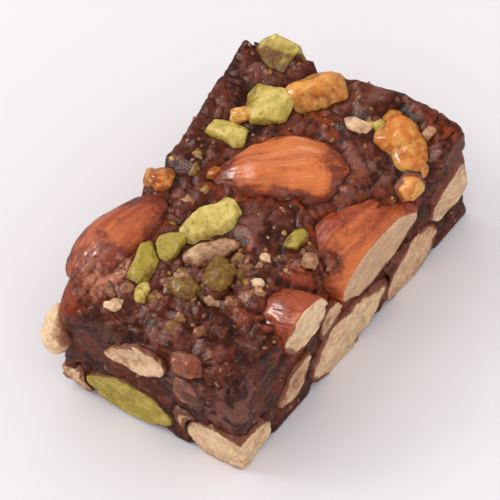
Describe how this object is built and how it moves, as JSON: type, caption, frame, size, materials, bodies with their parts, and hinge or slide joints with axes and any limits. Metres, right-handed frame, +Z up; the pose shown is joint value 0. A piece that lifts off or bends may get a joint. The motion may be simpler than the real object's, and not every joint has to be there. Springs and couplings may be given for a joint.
{
  "type": "fig barfi",
  "caption": "Skewed oblong block of dark, sticky fig paste, packed with whole and cut almonds, pistachios and amber nut pieces; flat cut sides and base, lumpy top.",
  "frame": {"origin": "middle of the flat underside of the bounding box", "axes": "+X along the block from its front end to its back end, +Y from its right side to its left side, +Z up; metres"},
  "size_m": [0.0658, 0.0398, 0.0267],
  "materials": {
    "fig_paste": "dark, sticky and glossy, slightly translucent",
    "almond_skin": "orange-brown skin under a thin syrup film",
    "almond_cut": "matt cream kernel",
    "pistachio": "satin yellow-green kernel",
    "amber_nut": "glossy amber, syrup-soaked nut"
  },
  "bodies": {
    "root": {"almond_back_3": "almond_cut", "almond_back_4": "almond_cut", "almond_corner": "almond_cut", "almond_foot_1": "almond_cut", "almond_foot_2": "almond_cut", "almond_foot_3": "almond_cut", "almond_foot_4": "almond_cut", "almond_front_chip": "almond_cut", "almond_front_crumb": "almond_cut", "almond_front_left": "almond_cut", "almond_front_middle": "almond_cut", "almond_front_upper": "almond_cut", "almond_left_6": "almond_cut", "almond_left_7": "almond_cut", "almond_right_back": "almond_cut", "almond_right_chip": "almond_cut", "almond_right_foot": "almond_cut", "almond_right_long": "almond_cut", "almond_right_middle": "almond_cut", "almond_top_chip": "almond_cut", "almond_top_crumb": "almond_cut", "almond_top_edge": "almond_skin", "almond_top_left": "almond_skin", "almond_top_middle": "almond_skin", "almond_top_right": "almond_skin", "amber_back_6": "amber_nut", "amber_front": "amber_nut", "amber_left_2": "amber_nut", "amber_top_back": "amber_nut", "amber_top_edge": "amber_nut", "amber_top_left": "amber_nut", "amber_top_right": "amber_nut", "fig_paste": "fig_paste", "pistachio_back_1": "pistachio", "pistachio_back_2": "pistachio", "pistachio_back_5": "pistachio", "pistachio_front": "pistachio", "pistachio_left_1": "pistachio", "pistachio_left_3": "pistachio", "pistachio_top_corner": "pistachio", "pistachio_top_edge": "pistachio", "pistachio_top_front": "pistachio", "pistachio_top_join": "pistachio", "pistachio_top_large": "pistachio", "pistachio_top_long": "pistachio", "pistachio_top_small": "pistachio"}
  },
  "joints": []
}
